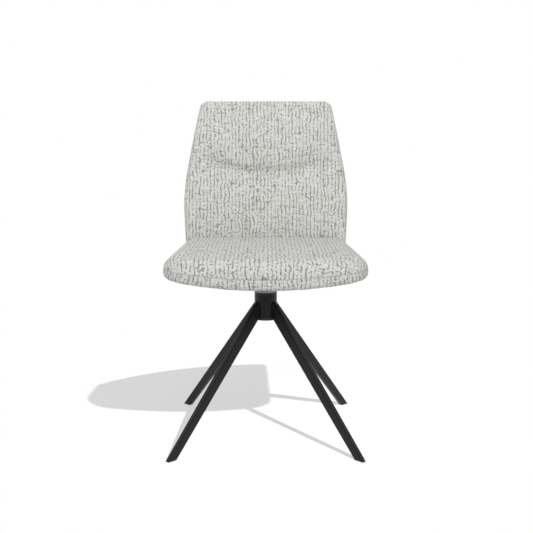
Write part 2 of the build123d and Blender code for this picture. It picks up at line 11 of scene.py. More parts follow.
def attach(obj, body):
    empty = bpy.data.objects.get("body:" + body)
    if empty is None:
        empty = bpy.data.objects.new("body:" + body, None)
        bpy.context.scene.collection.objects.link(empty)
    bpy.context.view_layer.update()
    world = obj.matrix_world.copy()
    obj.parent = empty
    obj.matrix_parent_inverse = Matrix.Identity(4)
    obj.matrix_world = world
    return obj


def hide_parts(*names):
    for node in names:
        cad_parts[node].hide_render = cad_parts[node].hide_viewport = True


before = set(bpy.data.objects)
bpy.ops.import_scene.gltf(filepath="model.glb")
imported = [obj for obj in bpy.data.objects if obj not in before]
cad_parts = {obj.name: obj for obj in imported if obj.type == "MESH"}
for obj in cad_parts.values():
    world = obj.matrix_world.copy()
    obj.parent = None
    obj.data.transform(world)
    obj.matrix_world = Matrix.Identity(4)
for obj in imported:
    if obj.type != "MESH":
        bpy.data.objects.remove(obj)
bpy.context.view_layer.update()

bl_info = {
    "name": "Swivel dining chair",
    "version": (1, 0, 0),
    "blender": (4, 5, 0),
    "location": "View3D > Sidebar > Chair",
    "description": "Upholstery, finishes and studio for the swivel dining chair",
    "category": "Object",
}

MM = 0.001
WHITE = (1.0, 1.0, 1.0)
WEAVE = "weave"  # the UV map along the cloth, in metres: across the ribs, then along them

# Where the two cushions stand. The seat looks up; the back leans behind upright.
LEAN = math.radians(12)
BACK_ORIGIN = Vector((0, 194.5, 493.0)) * MM
BACK_AXES = Matrix((
    (1, 0, 0),
    (0, math.sin(LEAN), -math.cos(LEAN)),
    (0, math.cos(LEAN), math.sin(LEAN)),
)).to_4x4()
BACK_FRAME = Matrix.Translation(BACK_ORIGIN) @ BACK_AXES
SEAT_FRAME = Matrix.Identity(4)

CORNERS = ("front_left", "front_right", "rear_left", "rear_right")
COATED_NODES = (
    *(f"leg_{corner}" for corner in CORNERS),
    "hub_tube",
    "pivot_plate",
    "mounting_plate",
    "back_bracket_left",
    "back_bracket_right",
    "spindle",
)
BRIGHT_NODES = (
    "lower_race",
    "upper_race",
    "bearing_balls",
    "pivot_washer",
    "retaining_ring",
    "plate_bolts",
    "plate_washers",
    "plate_tee_nuts",
    "bracket_bolts",
    "bracket_washers",
    "bracket_tee_nuts",
)
PLASTIC_NODES = (
    "hub_cap",
    "top_bush",
    "pivot_bush",
    "ball_cage",
    *(f"glide_{corner}" for corner in CORNERS),
)


# ---------------------------------------------------------------------------- settings


def length(name, description, default):
    """A length property, given in millimetres."""
    return FloatProperty(
        name=name,
        description=description,
        default=default * MM,
        min=0.0,
        precision=4,
        subtype="DISTANCE",
        unit="LENGTH",
    )


def colour(name, description, default):
    """A colour property, as red, green and blue."""
    return FloatVectorProperty(
        name=name, description=description, default=default, min=0.0, max=1.0, size=3,
        subtype="COLOR",
    )


def share(name, description, default):
    """A property from 0 to 1."""
    return FloatProperty(
        name=name, description=description, default=default, min=0.0, max=1.0,
        subtype="FACTOR",
    )


class ChairUpholstery(bpy.types.PropertyGroup):
    """Sizes of the two cushions."""

    voxel: length("Cloth grid", "Size of the grid that the cloth is simulated on", 5.3)
    crown: length("Seat crown", "Height of the seat's middle above its edge", 8.0)
    swell: length("Swell", "The most that the stuffing pushes the cloth out", 4.0)
    seam_depth: length("Seam depth", "How far the edge seams pull the cloth in", 1.6)
    seam_half_width: length("Seam half width", "From a seam to the full cloth", 2.4)
    crease_depth: length("Crease depth", "Depth of the valley under the headrest", 17.0)
    crease_smile: length("Crease smile", "Rise of the crease towards its ends", 34.0)
    pressure: FloatProperty(
        name="Stuffing pressure", description="Pressure inside the cloth", default=4.0,
        min=0.0,
    )
    frames: IntProperty(
        name="Frames", description="Frames that the cloth is simulated for", default=20,
        min=2,
    )


class ChairFabric(bpy.types.PropertyGroup):
    """The boucle's colours and rib."""

    light: colour("Yarn", "Colour of the looped yarn", (0.635, 0.64, 0.61))
    dark: colour("Ground", "Colour of the gaps between the loops", (0.15, 0.145, 0.125))
    rib: length("Rib", "From one rib of loops to the next", 10.0)
    depth: share("Contrast", "How strongly the gaps show", 0.86)


class ChairMetal(bpy.types.PropertyGroup):
    """The base's finishes."""

    coat: colour("Powder coat", "Colour of the legs and hub", (0.0075, 0.0072, 0.007))
    coat_roughness: share("Coat roughness", "Roughness of the powder coat", 0.36)
    ring: colour("Glide ring", "Colour of the ring on the hub", (0.42, 0.42, 0.41))
    plastic: colour("Black plastic", "Colour of caps and glides", (0.018, 0.018, 0.018))


class ChairStage(bpy.types.PropertyGroup):
    """Floor, light and camera."""

    key_power: FloatProperty(
        name="Key", description="Power of the lamp that casts the shadow", default=6000.0,
        min=0.0, unit="POWER",
    )
    ambient: FloatProperty(
        name="Ambient", description="Strength of the soft light all round", default=1.06,
        min=0.0,
    )
    front: FloatProperty(
        name="Front", description="Strength of the soft light added from the front",
        default=0.72, min=0.0,
    )
    shadow_end: length("Shadow end", "Where the shadow fades, from the axis", 692.0)
    shadow: share("Shadow", "Brightness of the floor in the chair's shadow", 0.694)


# ------------------------------------------------------------------------ shader sums


class Signal:
    """A number or colour that a material works out; sums on it add Math nodes."""

    def __init__(self, recipe, socket):
        self.recipe = recipe
        self.socket = socket

    def math(self, operation, *values):
        return self.recipe.node("ShaderNodeMath", {"operation": operation}, *values)

    def __add__(self, other):
        return self.math("ADD", self, other)

    def __radd__(self, other):
        return self.math("ADD", other, self)

    def __sub__(self, other):
        return self.math("SUBTRACT", self, other)

    def __rsub__(self, other):
        return self.math("SUBTRACT", other, self)

    def __mul__(self, other):
        return self.math("MULTIPLY", self, other)

    def __rmul__(self, other):
        return self.math("MULTIPLY", other, self)

    def __truediv__(self, other):
        return self.math("DIVIDE", self, other)

    def __abs__(self):
        return self.math("ABSOLUTE", self)

    def __floor__(self):
        return self.math("FLOOR", self)

    def either(self, other):
        """The larger of two masks."""
        return self.math("MAXIMUM", self, other)

    def rise(self, low, high):
        """0 below low, 1 above high and a smooth step between, in either order."""
        return self.recipe.node(
            "ShaderNodeMapRange",
            {"interpolation_type": "SMOOTHSTEP"},
            self,
            low,
            high,
            0.0,
            1.0,
        )


# A Mix node's sockets for colours: the factor, the two colours and the result.
MIX_FACTOR = 0
MIX_COLOURS = (6, 7)
MIX_RESULT = 2


class Recipe:
    """The nodes of one material or world."""

    def __init__(self, owner):
        owner.use_nodes = True
        self.owner = owner
        self.tree = owner.node_tree
        self.tree.nodes.clear()

    def node(self, kind, settings, *values, out=0, **named):
        """Adds a node: its settings first, then its sockets by order or by name.

        Out is the number or name of the output that is given back.
        """
        made = self.tree.nodes.new(kind)
        for key, value in settings.items():
            setattr(made, key, value)
        pairs = list(enumerate(values))
        pairs += [(key.replace("_", " "), value) for key, value in named.items()]
        for key, value in pairs:
            if value is None:
                continue
            if isinstance(value, Signal):
                self.tree.links.new(value.socket, made.inputs[key])
            else:
                made.inputs[key].default_value = value
        return Signal(self, made.outputs[out]) if made.outputs else made

    def vector(self, x=0.0, y=0.0, z=0.0):
        return self.node("ShaderNodeCombineXYZ", {}, x, y, z)

    def split(self, vector):
        parts = self.tree.nodes.new("ShaderNodeSeparateXYZ")
        self.tree.links.new(vector.socket, parts.inputs[0])
        return [Signal(self, out) for out in parts.outputs]

    def noise(self, vector, size, detail=0.0):
        """Soft noise from about 0.2 to 0.8, with lumps of a size in metres."""
        return self.node(
            "ShaderNodeTexNoise",
            {"noise_dimensions": "3D"},
            Vector=vector,
            Scale=1.0 / size,
            Detail=detail,
            Roughness=0.5,
        )

    def dice(self, vector):
        """A random number from 0 to 1 for each cell."""
        return self.node("ShaderNodeTexWhiteNoise", {"noise_dimensions": "2D"}, vector)

    def mix(self, mask, first, second):
        """Two colours, mixed by a mask."""
        made = self.tree.nodes.new("ShaderNodeMix")
        made.data_type = "RGBA"
        made.clamp_factor = True
        self.tree.links.new(mask.socket, made.inputs[MIX_FACTOR])
        for at, value in zip(MIX_COLOURS, (first, second)):
            if isinstance(value, Signal):
                self.tree.links.new(value.socket, made.inputs[at])
            else:
                made.inputs[at].default_value = (*value, 1.0)
        return Signal(self, made.outputs[MIX_RESULT])

    def grey(self, value):
        """A colour of three equal numbers."""
        return self.node("ShaderNodeCombineColor", {}, value, value, value)

    def surface(self, base, roughness, height=None, depth=MM, metallic=0.0, **constants):
        """The finished surface: colour, roughness and a bump of a height in metres."""
        normal = None
        if height is not None:
            normal = self.node(
                "ShaderNodeBump", {}, Strength=1.0, Distance=depth, Height=height
            )
        shader = self.node(
            "ShaderNodeBsdfPrincipled",
            {},
            Base_Color=base if isinstance(base, Signal) else (*base, 1.0),
            Roughness=roughness,
            Metallic=metallic,
            Normal=normal,
            **constants,
        )
        self.node("ShaderNodeOutputMaterial", {}, Surface=shader)
        return self.owner


def new_recipe(name):
    """The nodes of a new material."""
    return Recipe(bpy.data.materials.new(name))


def object_place(recipe):
    """The place on a piece, in the frame that the whole chair shares."""
    return recipe.node("ShaderNodeTexCoord", {}, out="Object")


def ray_kinds(recipe):
    """Masks for what is seen by the camera, through glass and in reflections."""
    path = recipe.tree.nodes.new("ShaderNodeLightPath")
    kinds = ("Is Camera Ray", "Is Transmission Ray", "Is Glossy Ray")
    return [Signal(recipe, path.outputs[kind]) for kind in kinds]


# -------------------------------------------------------------------------- materials


def boucle_fabric(fabric):
    """Looped yarn in ribs: pale loops with short dark gaps between the ribs."""
    recipe = new_recipe("boucle")
    across, along, _ = recipe.split(
        recipe.node("ShaderNodeUVMap", {"uv_map": WEAVE})
    )
    place = recipe.vector(across, along)
    rib = fabric.rib

    def sway(vector, size, amount):
        """Noise to both sides of zero."""
        return (recipe.noise(vector, size) - 0.5) * amount

    def lane(step):
        """A line of its own through the noise for each rib."""
        return recipe.vector(number * (step * MM), along)

    # Each rib wanders a little, so the gaps between two ribs lean and bend.
    column = (across + sway(place, 30 * MM, 10 * MM)) / rib
    number = math.floor(column)
    side = abs((column - number - 0.5) * rib + sway(lane(37), 6 * MM, 5 * MM))
    gap = side.rise(2.15 * MM, 0.8 * MM)
    dash = recipe.noise(lane(91), 3.7 * MM, 1.0)
    dense = sway(lane(53), 25 * MM, 0.3)
    gaps = gap * (dash + dense).rise(0.43, 0.54)

    # Loops that cross from rib to rib leave short level gaps.
    crossing = 11 * MM
    row = along / crossing + recipe.noise(place, 16 * MM) * 2.0
    count = math.floor(row)
    cell = recipe.vector(number, count)
    rung = abs((row - count - 0.5) * crossing).rise(2.0 * MM, 0.8 * MM)
    rungs = rung * recipe.dice(cell).rise(0.74, 0.78)

    # Odd gaps anywhere, as loops differ in size.
    stretched = recipe.vector(across, along * 0.62)
    odd = recipe.noise(stretched, 3.0 * MM, 1.0).rise(0.59, 0.69)
    dark = gaps.either(rungs * 0.8).either(odd * 0.75)

    loops = recipe.noise(place, 1.5 * MM, 2.0)
    clouds = recipe.noise(place, 30 * MM, 2.0)
    yarn = recipe.mix(
        clouds.rise(0.35, 0.65) * 0.6,
        fabric.light,
        [c * k for c, k in zip(fabric.light, (0.94, 0.93, 0.945))],
    )
    yarn = recipe.mix(loops.rise(0.3, 0.75) * 0.2, yarn, (0.80, 0.80, 0.78))

    # Painted highlight and shade: each loop is painted a little lighter or darker, as if
    # it caught the light differently.
    loop_light_and_shade = recipe.noise(place, 3.2 * MM, 1.0)
    yarn = recipe.mix(
        loop_light_and_shade.rise(0.52, 0.34) * 0.5, yarn, [c * 0.72 for c in fabric.light]
    )
    yarn = recipe.mix(loop_light_and_shade.rise(0.5, 0.68) * 0.5, yarn, (0.78, 0.785, 0.76))
    cloth = recipe.mix(dark * fabric.depth, yarn, fabric.dark)
    height = (1.0 - dark) * 0.7 + loops * 0.5
    roughness = 0.82 + dark * 0.12
    return recipe.surface(
        cloth,
        roughness,
        height,
        depth=0.7 * MM,
        Sheen_Weight=0.12,
        Sheen_Roughness=0.5,
        Specular_IOR_Level=0.25,
    )


def powder_coat(metal):
    """Satin black powder coat with its fine orange peel."""
    recipe = new_recipe("powder coat")
    place = object_place(recipe)
    peel = recipe.noise(place, 0.9 * MM, 2.0)
    cloud = recipe.noise(place, 45 * MM, 2.0)
    base = recipe.mix(
        cloud.rise(0.3, 0.7), metal.coat, [c * 1.25 for c in metal.coat]
    )
    return recipe.surface(
        base,
        metal.coat_roughness + (cloud - 0.5) * 0.08 + (peel - 0.5) * 0.06,
        peel,
        depth=0.02 * MM,
        Specular_IOR_Level=0.24,
    )


def plastic(name, tone, roughness):
    """Moulded plastic with a fine spark-eroded grain."""
    recipe = new_recipe(name)
    place = object_place(recipe)
    grain = recipe.noise(place, 0.5 * MM, 1.0)
    cloud = recipe.noise(place, 25 * MM, 1.0)
    base = recipe.mix(cloud.rise(0.3, 0.7), tone, [min(c * 1.12, 1) for c in tone])
    return recipe.surface(
        base, roughness + (grain - 0.5) * 0.12, grain, depth=0.03 * MM
    )


def zinc_plate():
    """Zinc-plated steel: bright, faintly clouded and brushed by handling."""
    recipe = new_recipe("zinc plate")
    place = object_place(recipe)
    cloud = recipe.noise(place, 4 * MM, 3.0)
    fine = recipe.noise(place, 0.6 * MM, 2.0)
    base = recipe.mix(cloud.rise(0.3, 0.7), (0.58, 0.585, 0.59), (0.68, 0.67, 0.64))
    return recipe.surface(
        base, 0.30 + cloud * 0.15 + fine * 0.05, fine, depth=0.01 * MM, metallic=1.0
    )


def plywood():
    """Birch plywood, its plies showing at the edges."""
    recipe = new_recipe("birch plywood")
    place = object_place(recipe)
    x, y, z = recipe.split(place)
    grain = recipe.noise(recipe.vector(x * 12.0, y, z * 12.0), 60 * MM, 4.0)
    fine = recipe.noise(recipe.vector(x * 30.0, y, z * 30.0), 40 * MM, 2.0)
    base = recipe.mix(grain.rise(0.35, 0.65), (0.60, 0.43, 0.26), (0.72, 0.55, 0.36))
    base = recipe.mix(fine.rise(0.4, 0.7) * 0.25, base, (0.42, 0.28, 0.16))
    return recipe.surface(base, 0.55 + fine * 0.1, grain, depth=0.1 * MM)


def dust_cloth():
    """Black spun-bonded cloth with its small pressed dots."""
    recipe = new_recipe("dust cloth")
    place = object_place(recipe)
    x, y, _ = recipe.split(place)
    pitch = 2.2 * MM
    dots = [abs(s / pitch - math.floor(s / pitch) - 0.5) for s in (x + y, x - y)]
    dot = (dots[0] + dots[1]).rise(0.42, 0.26)
    fibre = recipe.noise(recipe.vector(x * 3.0, y, 0.0), 2.5 * MM, 4.0)
    base = recipe.mix(fibre.rise(0.3, 0.75), (0.016, 0.016, 0.017), (0.045, 0.045, 0.047))
    base = recipe.mix(dot * 0.6, base, (0.02, 0.02, 0.021))
    return recipe.surface(base, 0.75 - dot * 0.25, fibre - dot * 0.6, depth=0.15 * MM)


def finish_node(name, material):
    """Gives a CAD node its material."""
    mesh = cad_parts[name].data
    mesh.materials.clear()
    mesh.materials.append(material)


# --------------------------------------------------------------------------- cushions

RELAX_ROUNDS = 2
FACES_SIDEWAYS = 0.5  # the seam only draws in cloth that is at least this upright
LIES_FLAT = 0.02  # cloth that is less upright than this needs no unrolling
UPRIGHT = 0.7  # from here on cloth starts to count as a cushion's side


def evaluated_mesh(piece):
    """A new mesh of what the piece's modifiers show."""
    graph = bpy.context.evaluated_depsgraph_get()
    return bpy.data.meshes.new_from_object(piece.evaluated_get(graph))


def bake_modifiers(piece):
    """Makes what the modifiers show the piece's own mesh."""
    made = evaluated_mesh(piece)
    piece.modifiers.clear()
    piece.data = made


def hull_piece(name, *nodes):
    """A new piece, closed round a merged copy of some CAD nodes."""
    shape = bmesh.new()
    for node in nodes:
        shape.from_mesh(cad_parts[node].data)
    bmesh.ops.remove_doubles(shape, verts=shape.verts, dist=0.02 * MM)
    bmesh.ops.delete(shape, geom=shape.edges, context="EDGES_FACES")
    bmesh.ops.convex_hull(shape, input=shape.verts, use_existing_faces=False)
    loose = [v for v in shape.verts if not v.link_faces]
    bmesh.ops.delete(shape, geom=loose, context="VERTS")
    bmesh.ops.recalc_face_normals(shape, faces=shape.faces)
    mesh = bpy.data.meshes.new(name)
    shape.to_mesh(mesh)
    shape.free()
    piece = bpy.data.objects.new(name, mesh)
    bpy.context.scene.collection.objects.link(piece)
    return piece


def voxel_grid(piece, size):
    """Gives a piece an even grid of small faces."""
    remesh = piece.modifiers.new("grid", "REMESH")
    remesh.mode = "VOXEL"
    remesh.voxel_size = size
    remesh.adaptivity = 0.0
    bake_modifiers(piece)


def move_points(piece, where, move):
    """Moves each point of a piece: move gets and returns its place in a local frame."""
    back = where.inverted()
    for point in piece.data.vertices:
        point.co = where @ move(back @ point.co)
    piece.data.update()


def smooth_step(low, high, value):
    """0 below low, 1 above high and a smooth step between, in either order."""
    t = min(max((value - low) / (high - low), 0.0), 1.0)
    return t * t * (3 - 2 * t)


def swell_cloth(piece, where, upholstery, freedom):
    """Fills a cushion with pressure; freedom says how much of the swell a point gets."""
    rest = [point.co.copy() for point in piece.data.vertices]
    back = where.inverted()
    free = [freedom(back @ co) for co in rest]
    pinned = piece.vertex_groups.new(name="pinned")
    for index, amount in enumerate(free):
        pinned.add([index], 1.0 - min(amount, 1.0), "REPLACE")
    cloth = piece.modifiers.new("stuffing", "CLOTH")
    settings = cloth.settings
    settings.use_pressure = True
    settings.uniform_pressure_force = upholstery.pressure
    settings.effector_weights.gravity = 0.0
    settings.vertex_group_mass = pinned.name
    cloth.point_cache.frame_end = upholstery.frames
    scene = bpy.context.scene
    for number in range(1, upholstery.frames + 1):
        scene.frame_set(number)
    swollen = evaluated_mesh(piece)
    piece.modifiers.clear()
    piece.vertex_groups.clear()
    scene.frame_set(1)
    for point, start, amount in zip(swollen.vertices, rest, free):
        move = point.co - start
        most = upholstery.swell * amount
        if move.length > 0 and most > 0:
            move *= most * math.tanh(move.length / most) / move.length
        else:
            move = Vector()
        point.co = start + move
    piece.data = swollen


def relax(piece):
    """Evens out a cushion's surface."""
    shape = bmesh.new()
    shape.from_mesh(piece.data)
    for _ in range(RELAX_ROUNDS):
        bmesh.ops.smooth_vert(
            shape,
            verts=shape.verts,
            factor=0.5,
            use_axis_x=True,
            use_axis_y=True,
            use_axis_z=True,
        )
    shape.to_mesh(piece.data)
    shape.free()


def subdivide(piece):
    """Divides each face once, smoothly."""
    divide = piece.modifiers.new("fine", "SUBSURF")
    divide.levels = divide.render_levels = 1
    bake_modifiers(piece)


def sew_seam(piece, where, height, upholstery):
    """Draws the cloth in along a level line round a cushion, where two panels meet."""
    axis = (where.to_3x3() @ Vector((0, 0, 1))).normalized()
    half = upholstery.seam_half_width
    shape = bmesh.new()
    shape.from_mesh(piece.data)
    for step in (-1, -0.5, 0, 0.5, 1):
        bmesh.ops.bisect_plane(
            shape,
            geom=[*shape.verts, *shape.edges, *shape.faces],
            dist=0.05 * MM,
            plane_co=where @ Vector((0, 0, height + step * half)),
            plane_no=axis,
        )
    shape.normal_update()
    back = where.inverted()
    moves = []
    for vert in shape.verts:
        off = abs((back @ vert.co).z - height) / half
        if off < 1:
            side = vert.normal - axis * vert.normal.dot(axis)
            if side.length > FACES_SIDEWAYS:
                pull = upholstery.seam_depth * (1 - off) ** 1.5
                moves.append((vert, side.normalized() * pull))
    for vert, move in moves:
        vert.co -= move
    shape.to_mesh(piece.data)
    shape.free()


def lay_weave(piece, where, front, rear, seam, shift):
    """Lays the weave over a cushion: two panels that meet at the seam, each unrolled.

    Front and rear are each panel's level and rim radius. The rear's and the seam's levels
    are worked out from the place across.
    """
    back = where.inverted()
    turn = back.to_3x3()
    mesh = piece.data
    places = [back @ point.co for point in mesh.vertices]
    normals = [(turn @ point.normal).normalized() for point in mesh.vertices]
    layer = mesh.uv_layers.new(name=WEAVE)

    def unrolled(index, sign):
        place, normal = places[index], normals[index]
        flat = Vector((normal.x, normal.y, 0))
        steep = min(flat.length, 1.0)
        if steep < LIES_FLAT:
            return place.x, place.y
        turned = math.atan2(steep, max(normal.z * sign, 0.0))
        if sign > 0:
            rim = front[1]
            past = front[0] - rim - place.z
        else:
            rim = rear[1]
            past = place.z - rear[0](place.x) - rim
        down = max(past, 0.0) * smooth_step(UPRIGHT, 1.0, steep)
        reach = rim * (turned - math.sin(turned)) + down
        flat.normalize()
        return place.x + flat.x * reach, place.y + flat.y * reach

    for face in mesh.polygons:
        over = sum(places[v].z - seam(places[v].x) for v in face.vertices)
        sign = 1 if over > 0 else -1
        for corner in face.loop_indices:
            u, v = unrolled(mesh.loops[corner].vertex_index, sign)
            if sign < 0:
                u, v = u + shift[0], v + shift[1]
            layer.data[corner].uv = (u, v)


def dress(piece, fabric, *nodes):
    """Finishes a cushion, hangs it on the seat body and hides the CAD nodes that it
    stands in for.
    """
    for face in piece.data.polygons:
        face.use_smooth = True
    piece.data.materials.clear()
    piece.data.materials.append(bpy.data.materials.get("boucle") or boucle_fabric(fabric))
    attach(piece, "seat")
    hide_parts(*nodes)


# The seat, in millimetres from the floor and from the swivel axis.
SEAT_BOTTOM = 429.2
SEAT_TOP = 502.5
SEAT_SEAM = 456.6
SEAT_UPPER_RIM = 33.0
SEAT_LOWER_RIM = 13.5
SEAT_FRONT = -305.8
SEAT_HALF_WIDTH = 245.2
ARCH_RADIUS = 1377.0
SEAM_RADIUS = 1786.0
BACK_FACE = 148.0  # Y of the back's front face at BACK_ORIGIN's height
CROWN_START = 190.0  # from the seat's front edge to its full crown
FLAT_UNDER = 2.6  # points this near the underside are laid on it
HELD_UNDER = 22.0  # above the underside, the cloth is held less and less up to here
HELD_BEHIND = 40.0  # and in front of the back up to here
EDGE_FREEDOM = 0.35  # how much of the swell is left at the seat's edge
CLEARANCE = 0.3  # between the seat and the back
SEAT_SHIFT = (0.0133, 0.0271)  # where the lower panel is cut from the cloth, in metres


def arched(height, radius):
    """A level that rises to both sides as a wide arch."""
    return lambda x: height * MM + x * x / (2 * radius * MM)


def level(height):
    """The same level all the way across."""
    return lambda x: height * MM


seat_floor = arched(SEAT_BOTTOM, ARCH_RADIUS)
seat_seam = arched(SEAT_SEAM, SEAM_RADIUS)


def back_face_y(z):
    """Where the back's front face stands at a height."""
    return BACK_FACE * MM + (z - BACK_ORIGIN.z) * math.tan(LEAN)


class CHAIR_OT_seat_cushion(bpy.types.Operator):
    """The seat: an arched pad with a full round edge and a seam that rises sideways"""

    bl_idname = "chair.seat_cushion"
    bl_label = "Seat cushion"

    def execute(self, context):
        upholstery = context.scene.chair_upholstery
        piece = hull_piece("seat_cushion", "seat_foam")
        voxel_grid(piece, upholstery.voxel)

        def inside(place):
            """0 at the seat's edge and 1 in its middle, seen from above."""
            across = 1 - (abs(place.x) / (SEAT_HALF_WIDTH * MM)) ** 4
            ahead = smooth_step(SEAT_FRONT * MM, (SEAT_FRONT + CROWN_START) * MM, place.y)
            return max(across, 0.0) * ahead

        def crowned(place):
            top = smooth_step(SEAT_SEAM * MM, SEAT_TOP * MM, place.z)
            place.z += upholstery.crown * top * inside(place)
            if place.z < seat_floor(place.x) + FLAT_UNDER * MM:
                place.z = seat_floor(place.x)
            return place

        move_points(piece, SEAT_FRAME, crowned)

        def freedom(place):
            above = smooth_step(0.0, HELD_UNDER * MM, place.z - seat_floor(place.x))
            gap = back_face_y(place.z) - place.y
            before = smooth_step(0.0, HELD_BEHIND * MM, gap)
            return above * before * (EDGE_FREEDOM + (1 - EDGE_FREEDOM) * inside(place))

        swell_cloth(piece, SEAT_FRAME, upholstery, freedom)
        relax(piece)
        subdivide(piece)

        def fitted(place):
            """Keeps the seat in front of the back."""
            place.y = min(place.y, back_face_y(place.z) - CLEARANCE * MM)
            return place

        def bent(amount):
            """Bends the seat by its seam's rise, so that the seam can be sewn level."""

            def move(place):
                place.z += amount * (seat_seam(place.x) - SEAT_SEAM * MM)
                return place

            return move

        move_points(piece, SEAT_FRAME, fitted)
        move_points(piece, SEAT_FRAME, bent(-1))
        sew_seam(piece, SEAT_FRAME, SEAT_SEAM * MM, upholstery)
        move_points(piece, SEAT_FRAME, bent(1))
        lay_weave(
            piece, SEAT_FRAME, (SEAT_TOP * MM, SEAT_UPPER_RIM * MM),
            (seat_floor, SEAT_LOWER_RIM * MM), seat_seam, SEAT_SHIFT,
        )
        dress(piece, context.scene.chair_fabric, "seat_foam", "seat_cover")
        return {"FINISHED"}


# The back, in millimetres from its board's front face and along it from BACK_ORIGIN.
BACK_FRONT = 45.5
BACK_REAR = -23.5
BACK_SEAM = 10.0
BACK_RIM = 16.0
BACK_DROP = -62.0
BACK_RISE = 396.0
BACK_SHIFT = (0.0177, 0.0313)  # where the rear panel is cut from the cloth, in metres

# Half the back's width, and its foam's front face, at distances up the back.
HALF_WIDTHS = ((BACK_DROP, 224.5), (147.3, 235.3), (BACK_RISE, 185.6))
FOAM_DEPTHS = ((BACK_DROP, 44.0), (100.0, 50.0), (285.0, 54.0), (BACK_RISE, 48.0))

# The crease, and how deep the cloth lies behind the foam's face before it swells.
CREASE_RISE = 193.0
CREASE_END = 185.0
CREASE_ABOVE = 10.0  # the valley is steep under the headrest and easy below
CREASE_BELOW = 20.0
CREASE_HELD = 15.0  # to both sides of the crease, the cloth is held
SWELL_ROOM = 1.5
EDGE_DROP = 2.5  # how much lower the face lies at its sides
FULL_HEADREST = 6.0  # the least that the headrest stands out, well above the crease

# Humps on the back's face: their height, place and half width.
BOLSTER = (9.0, 74.0, 62.0)  # above the crease
LUMBAR = (6.0, 100.0, 80.0)  # up the back

REAR_FREEDOM = 0.6  # how much of the swell the back's rear gets
RIM_HOLD = 0.7  # how much less of it the rims get


def read_off(table, place):
    """Reads a table of places and values at a place, along straight lines."""
    for (low, first), (high, last) in zip(table, table[1:]):
        if place < high:
            break
    return first + (last - first) * (place - low) / (high - low)


def back_half_width(rise):
    """Half the back's width at a distance up it, in metres."""
    return read_off(HALF_WIDTHS, rise / MM) * MM


def bell(value, middle, width):
    """1 in the middle and falling away to both sides."""
    return math.exp(-(((value - middle) / width) ** 2))


def hump(value, height, middle, width):
    """The height of a hump at a value in metres; the rest is in millimetres."""
    return height * bell(value, middle * MM, width * MM)


class CHAIR_OT_back_cushion(bpy.types.Operator):
    """The back: a headrest over a smiling crease over a lumbar swell"""

    bl_idname = "chair.back_cushion"
    bl_label = "Back cushion"

    def execute(self, context):
        upholstery = context.scene.chair_upholstery
        piece = hull_piece("back_cushion", "back_foam", "headrest_foam")
        voxel_grid(piece, upholstery.voxel)
        smile = upholstery.crease_smile
        end = CREASE_END * MM

        def crease_rise(x):
            return CREASE_RISE * MM + smile * (x / end) ** 2

        def ended(x):
            """1 over the crease's length, 0 at its ends."""
            return 1 - smooth_step(0.62 * end, 1.12 * end, abs(x))

        def shaped_depth(x, rise):
            """How far the back's face stands out, in millimetres."""
            wide = abs(x) / back_half_width(rise)
            above = rise - crease_rise(x)
            full = FULL_HEADREST * smooth_step(30 * MM, 90 * MM, above)
            bolster = max(hump(above, *BOLSTER), full)
            half = CREASE_ABOVE if above > 0 else CREASE_BELOW
            crease = upholstery.crease_depth / MM * bell(above, 0, half * MM)
            flat = BACK_FRONT - SWELL_ROOM - EDGE_DROP * wide**4
            return flat + bolster + hump(rise, *LUMBAR) - crease * ended(x)

        def shaped(place):
            """Stretches the foam's depth in front of the seam to the shaped face."""
            full = read_off(FOAM_DEPTHS, place.y / MM)
            depth = place.z / MM
            start = BACK_SEAM + 2
            if depth > start:
                part = min((depth - start) / (full - start), 1.0)
                depth += (shaped_depth(place.x, place.y) - full) * part
            place.z = depth * MM
            return place

        move_points(piece, BACK_FRAME, shaped)

        def freedom(place):
            front = smooth_step(BACK_SEAM * MM, (BACK_FRONT - 6) * MM, place.z)
            rear = smooth_step((BACK_REAR + 8) * MM, (BACK_REAR + 2) * MM, place.z)
            above = place.y - crease_rise(place.x)
            sewn = bell(above, 0, CREASE_HELD * MM) * ended(place.x)
            seat = smooth_step(-30 * MM, 40 * MM, place.y)
            wide = abs(place.x) / back_half_width(place.y)
            rim = 1 - RIM_HOLD * smooth_step(0.7, 1.0, wide)
            top = 1 - RIM_HOLD * smooth_step(330 * MM, BACK_RISE * MM, place.y)
            return max(front * (1 - sewn) * seat, REAR_FREEDOM * rear) * rim * top

        swell_cloth(piece, BACK_FRAME, upholstery, freedom)
        relax(piece)
        subdivide(piece)
        sew_seam(piece, BACK_FRAME, BACK_SEAM * MM, upholstery)
        lay_weave(
            piece, BACK_FRAME, (BACK_FRONT * MM, BACK_RIM * MM),
            (level(BACK_REAR), BACK_RIM * MM), level(BACK_SEAM), BACK_SHIFT,
        )
        dress(
            piece, context.scene.chair_fabric, "back_foam", "headrest_foam", "back_cover"
        )
        return {"FINISHED"}


# ---------------------------------------------------------------------- carried nodes


class CHAIR_OT_steel(bpy.types.Operator):
    """Powder coat on the base and the ironwork, zinc on the fasteners and the bearing"""

    bl_idname = "chair.steel"
    bl_label = "Steel finishes"

    def execute(self, context):
        coat = powder_coat(context.scene.chair_metal)
        for name in COATED_NODES:
            finish_node(name, coat)
        zinc = zinc_plate()
        for name in BRIGHT_NODES:
            finish_node(name, zinc)
        return {"FINISHED"}


class CHAIR_OT_plastics(bpy.types.Operator):
    """Black caps, collar, bushes and glides, and the grey ring"""

    bl_idname = "chair.plastics"
    bl_label = "Plastic finishes"

    def execute(self, context):
        metal = context.scene.chair_metal
        black = plastic("black plastic", metal.plastic, 0.45)
        for name in PLASTIC_NODES:
            finish_node(name, black)
        finish_node("glide_ring", plastic("grey plastic", metal.ring, 0.35))
        return {"FINISHED"}


class CHAIR_OT_boards(bpy.types.Operator):
    """Plywood boards and the dust cloth"""

    bl_idname = "chair.boards"
    bl_label = "Boards and dust cover"

    def execute(self, context):
        wood = plywood()
        for name in ("seat_board", "back_board"):
            finish_node(name, wood)
        finish_node("dust_cover", dust_cloth())
        return {"FINISHED"}


